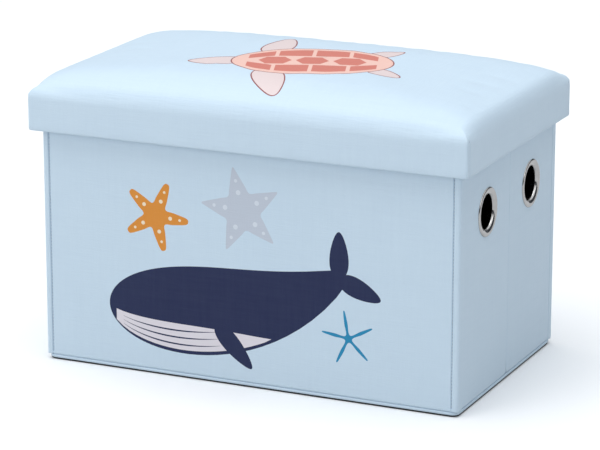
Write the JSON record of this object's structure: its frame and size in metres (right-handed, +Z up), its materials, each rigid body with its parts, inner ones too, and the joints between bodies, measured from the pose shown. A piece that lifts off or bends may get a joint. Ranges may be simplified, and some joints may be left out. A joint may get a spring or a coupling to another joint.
{
  "type": "toy box",
  "caption": "Folding toy box and seat with stiff padded-cloth walls, creased fold-in ends with metal-rimmed hand holes, a loose base board and a padded lift-off lid.",
  "frame": {"origin": "centre of the footprint on the floor", "axes": "+X along the box's length, -Y towards the front, +Z up"},
  "size_m": [0.48, 0.29, 0.316],
  "materials": {
    "leatherette": "satin",
    "lining_cloth": "matte",
    "wall_board": "matte",
    "eyelet_metal": "polished",
    "washer_metal": "satin",
    "foam": "matte",
    "tab_ribbon": "satin"
  },
  "bodies": {
    "box_front": {"bottom_sheet": "lining_cloth", "bottom_binding": "lining_cloth", "front_board": "wall_board", "front_cover": "leatherette", "front_lining": "lining_cloth"},
    "back_wall": {"back_board": "wall_board", "back_cover": "leatherette", "back_lining": "lining_cloth"},
    "base": {"base_board": "wall_board", "base_cover": "lining_cloth", "pull_tab": "tab_ribbon"},
    "lid": {"lid_board": "wall_board", "lid_foam": "foam", "lid_cover": "leatherette", "lid_lining": "lining_cloth", "lid_rim_front": "wall_board", "lid_rim_back": "wall_board", "lid_rim_left": "wall_board", "lid_rim_right": "wall_board"},
    "right_front_leaf": {"right_front_board": "wall_board", "right_front_cover": "leatherette", "right_front_lining": "lining_cloth", "right_front_eyelet": "eyelet_metal", "right_front_washer": "washer_metal"},
    "right_rear_leaf": {"right_rear_board": "wall_board", "right_rear_cover": "leatherette", "right_rear_lining": "lining_cloth", "right_rear_eyelet": "eyelet_metal", "right_rear_washer": "washer_metal"},
    "left_front_leaf": {"left_front_board": "wall_board", "left_front_cover": "leatherette", "left_front_lining": "lining_cloth", "left_front_eyelet": "eyelet_metal", "left_front_washer": "washer_metal"},
    "left_rear_leaf": {"left_rear_board": "wall_board", "left_rear_cover": "leatherette", "left_rear_lining": "lining_cloth", "left_rear_eyelet": "eyelet_metal", "left_rear_washer": "washer_metal"}
  },
  "joints": [
    {"name": "fold", "type": "hinge", "parent": "box_front", "child": "right_front_leaf", "pos_m": [0.224, -0.129, 0], "axis": [0, 0, -1], "range_deg": [-87, 0]},
    {"name": "right_crease", "type": "hinge", "parent": "right_front_leaf", "child": "right_rear_leaf", "pos_m": [0.229, 0, 0], "axis": [0, 0, 1], "range_deg": [-174, 0]},
    {"name": "right_back_corner", "type": "hinge", "parent": "right_rear_leaf", "child": "back_wall", "pos_m": [0.224, 0.129, 0], "axis": [0, 0, 1], "range_deg": [0, 87]},
    {"name": "left_front_corner", "type": "hinge", "parent": "box_front", "child": "left_front_leaf", "pos_m": [-0.224, -0.129, 0], "axis": [0, 0, 1], "range_deg": [-87, 0]},
    {"name": "left_crease", "type": "hinge", "parent": "left_front_leaf", "child": "left_rear_leaf", "pos_m": [-0.229, 0, 0], "axis": [0, 0, 1], "range_deg": [0, 174]},
    {"name": "base_board_tilt", "type": "hinge", "parent": "box_front", "child": "base", "pos_m": [0, 0.1265, 0.0039], "axis": [-1, 0, 0], "range_deg": [0, 75]},
    {"name": "lid_lift", "type": "slide", "parent": "box_front", "child": "lid", "axis": [0, 0, 1], "range_m": [0, 0.25]}
  ],
  "couplings": [
    {"joint": "right_crease", "follows": "fold", "ratio": 2},
    {"joint": "right_back_corner", "follows": "fold", "ratio": -1},
    {"joint": "left_front_corner", "follows": "fold", "ratio": 1},
    {"joint": "left_crease", "follows": "fold", "ratio": -2}
  ]
}
